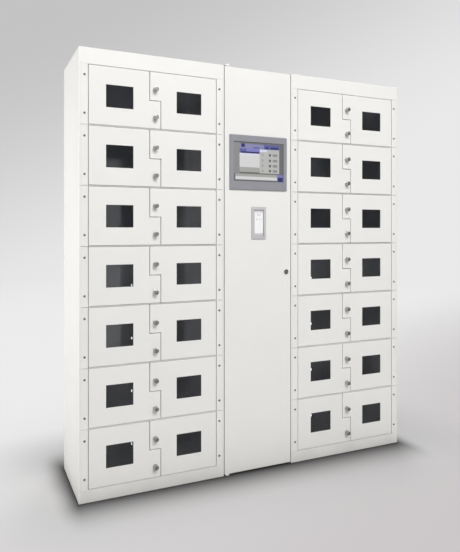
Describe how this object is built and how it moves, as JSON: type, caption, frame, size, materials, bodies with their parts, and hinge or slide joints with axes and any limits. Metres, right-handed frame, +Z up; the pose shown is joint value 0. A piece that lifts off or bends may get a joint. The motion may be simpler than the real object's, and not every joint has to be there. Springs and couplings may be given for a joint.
{
  "type": "phone charging kiosk",
  "caption": "Free-standing phone charging kiosk: windowed locker doors in stacked rows on both sides of a control tower with touch panel, card reader and key lock.",
  "frame": {"origin": "on the floor under the middle of the control tower, halfway between the front plane and the rear edges", "axes": "+Z up; the front with the doors looks towards -Y; +X to the right as seen from the front"},
  "size_m": [1.6616, 0.437, 1.9093],
  "materials": {
    "carcass_white": "satin",
    "door_white": "satin",
    "inner_white": "satin",
    "pivot_steel": "satin",
    "lock_chrome": "polished",
    "plug_steel": "satin",
    "window_acrylic": "gloss",
    "outlet_plastic": "gloss",
    "bezel_grey": "matte",
    "screen_glass": "gloss",
    "case_metal": "satin",
    "reader_grey": "matte",
    "reader_white": "gloss",
    "supply_metal": "satin",
    "inlet_black": "matte"
  },
  "bodies": {
    "cabinet": {"left_bank_carcass": "carcass_white", "left_bank_back_panel": "carcass_white", "row_box_01": "inner_white", "row_box_02": "inner_white", "row_box_03": "inner_white", "row_box_04": "inner_white", "row_box_05": "inner_white", "row_box_06": "inner_white", "row_box_07": "inner_white", "right_bank_carcass": "carcass_white", "right_bank_back_panel": "carcass_white", "row_box_08": "inner_white", "row_box_09": "inner_white", "row_box_10": "inner_white", "row_box_11": "inner_white", "row_box_12": "inner_white", "row_box_13": "inner_white", "row_box_14": "inner_white", "tower_carcass": "carcass_white", "tower_back_panel": "carcass_white", "tower_top_pivot": "pivot_steel", "tower_bottom_pivot": "pivot_steel", "power_supply": "supply_metal", "mains_inlet": "inlet_black"},
    "locker_door_01": {"locker_door_01": "door_white"},
    "locker_door_02": {"locker_door_02": "door_white"},
    "locker_door_03": {"locker_door_03": "door_white"},
    "locker_door_04": {"locker_door_04": "door_white"},
    "locker_door_05": {"locker_door_05": "door_white"},
    "locker_door_06": {"locker_door_06": "door_white"},
    "locker_door_07": {"locker_door_07": "door_white"},
    "locker_door_08": {"locker_door_08": "door_white"},
    "locker_door_09": {"locker_door_09": "door_white"},
    "locker_door_10": {"locker_door_10": "door_white"},
    "locker_door_11": {"locker_door_11": "door_white"},
    "locker_door_12": {"locker_door_12": "door_white"},
    "locker_door_13": {"locker_door_13": "door_white"},
    "locker_door_14": {"locker_door_14": "door_white"},
    "locker_door_15": {"locker_door_15": "door_white"},
    "locker_door_16": {"locker_door_16": "door_white"},
    "locker_door_17": {"locker_door_17": "door_white"},
    "locker_door_18": {"locker_door_18": "door_white"},
    "locker_door_19": {"locker_door_19": "door_white"},
    "locker_door_20": {"locker_door_20": "door_white"},
    "locker_door_21": {"locker_door_21": "door_white"},
    "locker_door_22": {"locker_door_22": "door_white"},
    "locker_door_23": {"locker_door_23": "door_white"},
    "locker_door_24": {"locker_door_24": "door_white"},
    "locker_door_25": {"locker_door_25": "door_white"},
    "locker_door_26": {"locker_door_26": "door_white"},
    "locker_door_27": {"locker_door_27": "door_white"},
    "locker_door_28": {"locker_door_28": "door_white"},
    "tower_door": {"tower_door": "door_white", "touch_panel_bezel": "bezel_grey", "touch_panel_screen": "screen_glass", "touch_panel_case": "case_metal", "card_reader_frame": "reader_grey", "card_reader_face": "reader_white", "tower_lock_barrel": "lock_chrome"},
    "tower_lock": {"tower_lock_plug": "plug_steel"}
  },
  "joints": [
    {"name": "locker_door_01_hinge", "type": "hinge", "parent": "cabinet", "child": "locker_door_01", "pos_m": [-0.7833, -0.2025, 1.70486], "axis": [0, 0, -1], "range_deg": [0, 90]},
    {"name": "locker_door_02_hinge", "type": "hinge", "parent": "cabinet", "child": "locker_door_02", "pos_m": [-0.2253, -0.2025, 1.70486], "axis": [0, 0, 1], "range_deg": [0, 90]},
    {"name": "locker_door_03_hinge", "type": "hinge", "parent": "cabinet", "child": "locker_door_03", "pos_m": [-0.7833, -0.2025, 1.45057], "axis": [0, 0, -1], "range_deg": [0, 90]},
    {"name": "locker_door_04_hinge", "type": "hinge", "parent": "cabinet", "child": "locker_door_04", "pos_m": [-0.2253, -0.2025, 1.45057], "axis": [0, 0, 1], "range_deg": [0, 90]},
    {"name": "locker_door_05_hinge", "type": "hinge", "parent": "cabinet", "child": "locker_door_05", "pos_m": [-0.7833, -0.2025, 1.19629], "axis": [0, 0, -1], "range_deg": [0, 90]},
    {"name": "locker_door_06_hinge", "type": "hinge", "parent": "cabinet", "child": "locker_door_06", "pos_m": [-0.2253, -0.2025, 1.19629], "axis": [0, 0, 1], "range_deg": [0, 90]},
    {"name": "locker_door_07_hinge", "type": "hinge", "parent": "cabinet", "child": "locker_door_07", "pos_m": [-0.7833, -0.2025, 0.942], "axis": [0, 0, -1], "range_deg": [0, 90]},
    {"name": "locker_door_08_hinge", "type": "hinge", "parent": "cabinet", "child": "locker_door_08", "pos_m": [-0.2253, -0.2025, 0.942], "axis": [0, 0, 1], "range_deg": [0, 90]},
    {"name": "locker_door_09_hinge", "type": "hinge", "parent": "cabinet", "child": "locker_door_09", "pos_m": [-0.7833, -0.2025, 0.68771], "axis": [0, 0, -1], "range_deg": [0, 90]},
    {"name": "locker_door_10_hinge", "type": "hinge", "parent": "cabinet", "child": "locker_door_10", "pos_m": [-0.2253, -0.2025, 0.68771], "axis": [0, 0, 1], "range_deg": [0, 90]},
    {"name": "locker_door_11_hinge", "type": "hinge", "parent": "cabinet", "child": "locker_door_11", "pos_m": [-0.7833, -0.2025, 0.43343], "axis": [0, 0, -1], "range_deg": [0, 90]},
    {"name": "locker_door_12_hinge", "type": "hinge", "parent": "cabinet", "child": "locker_door_12", "pos_m": [-0.2253, -0.2025, 0.43343], "axis": [0, 0, 1], "range_deg": [0, 90]},
    {"name": "locker_door_13_hinge", "type": "hinge", "parent": "cabinet", "child": "locker_door_13", "pos_m": [-0.7833, -0.2025, 0.17914], "axis": [0, 0, -1], "range_deg": [0, 90]},
    {"name": "locker_door_14_hinge", "type": "hinge", "parent": "cabinet", "child": "locker_door_14", "pos_m": [-0.2253, -0.2025, 0.17914], "axis": [0, 0, 1], "range_deg": [0, 90]},
    {"name": "locker_door_15_hinge", "type": "hinge", "parent": "cabinet", "child": "locker_door_15", "pos_m": [0.2253, -0.2025, 1.70486], "axis": [0, 0, -1], "range_deg": [0, 90]},
    {"name": "locker_door_16_hinge", "type": "hinge", "parent": "cabinet", "child": "locker_door_16", "pos_m": [0.7833, -0.2025, 1.70486], "axis": [0, 0, 1], "range_deg": [0, 90]},
    {"name": "locker_door_17_hinge", "type": "hinge", "parent": "cabinet", "child": "locker_door_17", "pos_m": [0.2253, -0.2025, 1.45057], "axis": [0, 0, -1], "range_deg": [0, 90]},
    {"name": "locker_door_18_hinge", "type": "hinge", "parent": "cabinet", "child": "locker_door_18", "pos_m": [0.7833, -0.2025, 1.45057], "axis": [0, 0, 1], "range_deg": [0, 90]},
    {"name": "locker_door_19_hinge", "type": "hinge", "parent": "cabinet", "child": "locker_door_19", "pos_m": [0.2253, -0.2025, 1.19629], "axis": [0, 0, -1], "range_deg": [0, 90]},
    {"name": "locker_door_20_hinge", "type": "hinge", "parent": "cabinet", "child": "locker_door_20", "pos_m": [0.7833, -0.2025, 1.19629], "axis": [0, 0, 1], "range_deg": [0, 90]},
    {"name": "locker_door_21_hinge", "type": "hinge", "parent": "cabinet", "child": "locker_door_21", "pos_m": [0.2253, -0.2025, 0.942], "axis": [0, 0, -1], "range_deg": [0, 90]},
    {"name": "locker_door_22_hinge", "type": "hinge", "parent": "cabinet", "child": "locker_door_22", "pos_m": [0.7833, -0.2025, 0.942], "axis": [0, 0, 1], "range_deg": [0, 90]},
    {"name": "locker_door_23_hinge", "type": "hinge", "parent": "cabinet", "child": "locker_door_23", "pos_m": [0.2253, -0.2025, 0.68771], "axis": [0, 0, -1], "range_deg": [0, 90]},
    {"name": "locker_door_24_hinge", "type": "hinge", "parent": "cabinet", "child": "locker_door_24", "pos_m": [0.7833, -0.2025, 0.68771], "axis": [0, 0, 1], "range_deg": [0, 90]},
    {"name": "locker_door_25_hinge", "type": "hinge", "parent": "cabinet", "child": "locker_door_25", "pos_m": [0.2253, -0.2025, 0.43343], "axis": [0, 0, -1], "range_deg": [0, 90]},
    {"name": "locker_door_26_hinge", "type": "hinge", "parent": "cabinet", "child": "locker_door_26", "pos_m": [0.7833, -0.2025, 0.43343], "axis": [0, 0, 1], "range_deg": [0, 90]},
    {"name": "locker_door_27_hinge", "type": "hinge", "parent": "cabinet", "child": "locker_door_27", "pos_m": [0.2253, -0.2025, 0.17914], "axis": [0, 0, -1], "range_deg": [0, 90]},
    {"name": "locker_door_28_hinge", "type": "hinge", "parent": "cabinet", "child": "locker_door_28", "pos_m": [0.7833, -0.2025, 0.17914], "axis": [0, 0, 1], "range_deg": [0, 90]},
    {"name": "tower_door_hinge", "type": "hinge", "parent": "cabinet", "child": "tower_door", "pos_m": [-0.1605, -0.2015, 0.95], "axis": [0, 0, -1], "range_deg": [0, 90]},
    {"name": "tower_lock_turn", "type": "hinge", "parent": "tower_door", "child": "tower_lock", "pos_m": [0.1495, -0.2075, 0.935], "axis": [0, -1, 0], "range_deg": [0, 90]}
  ]
}
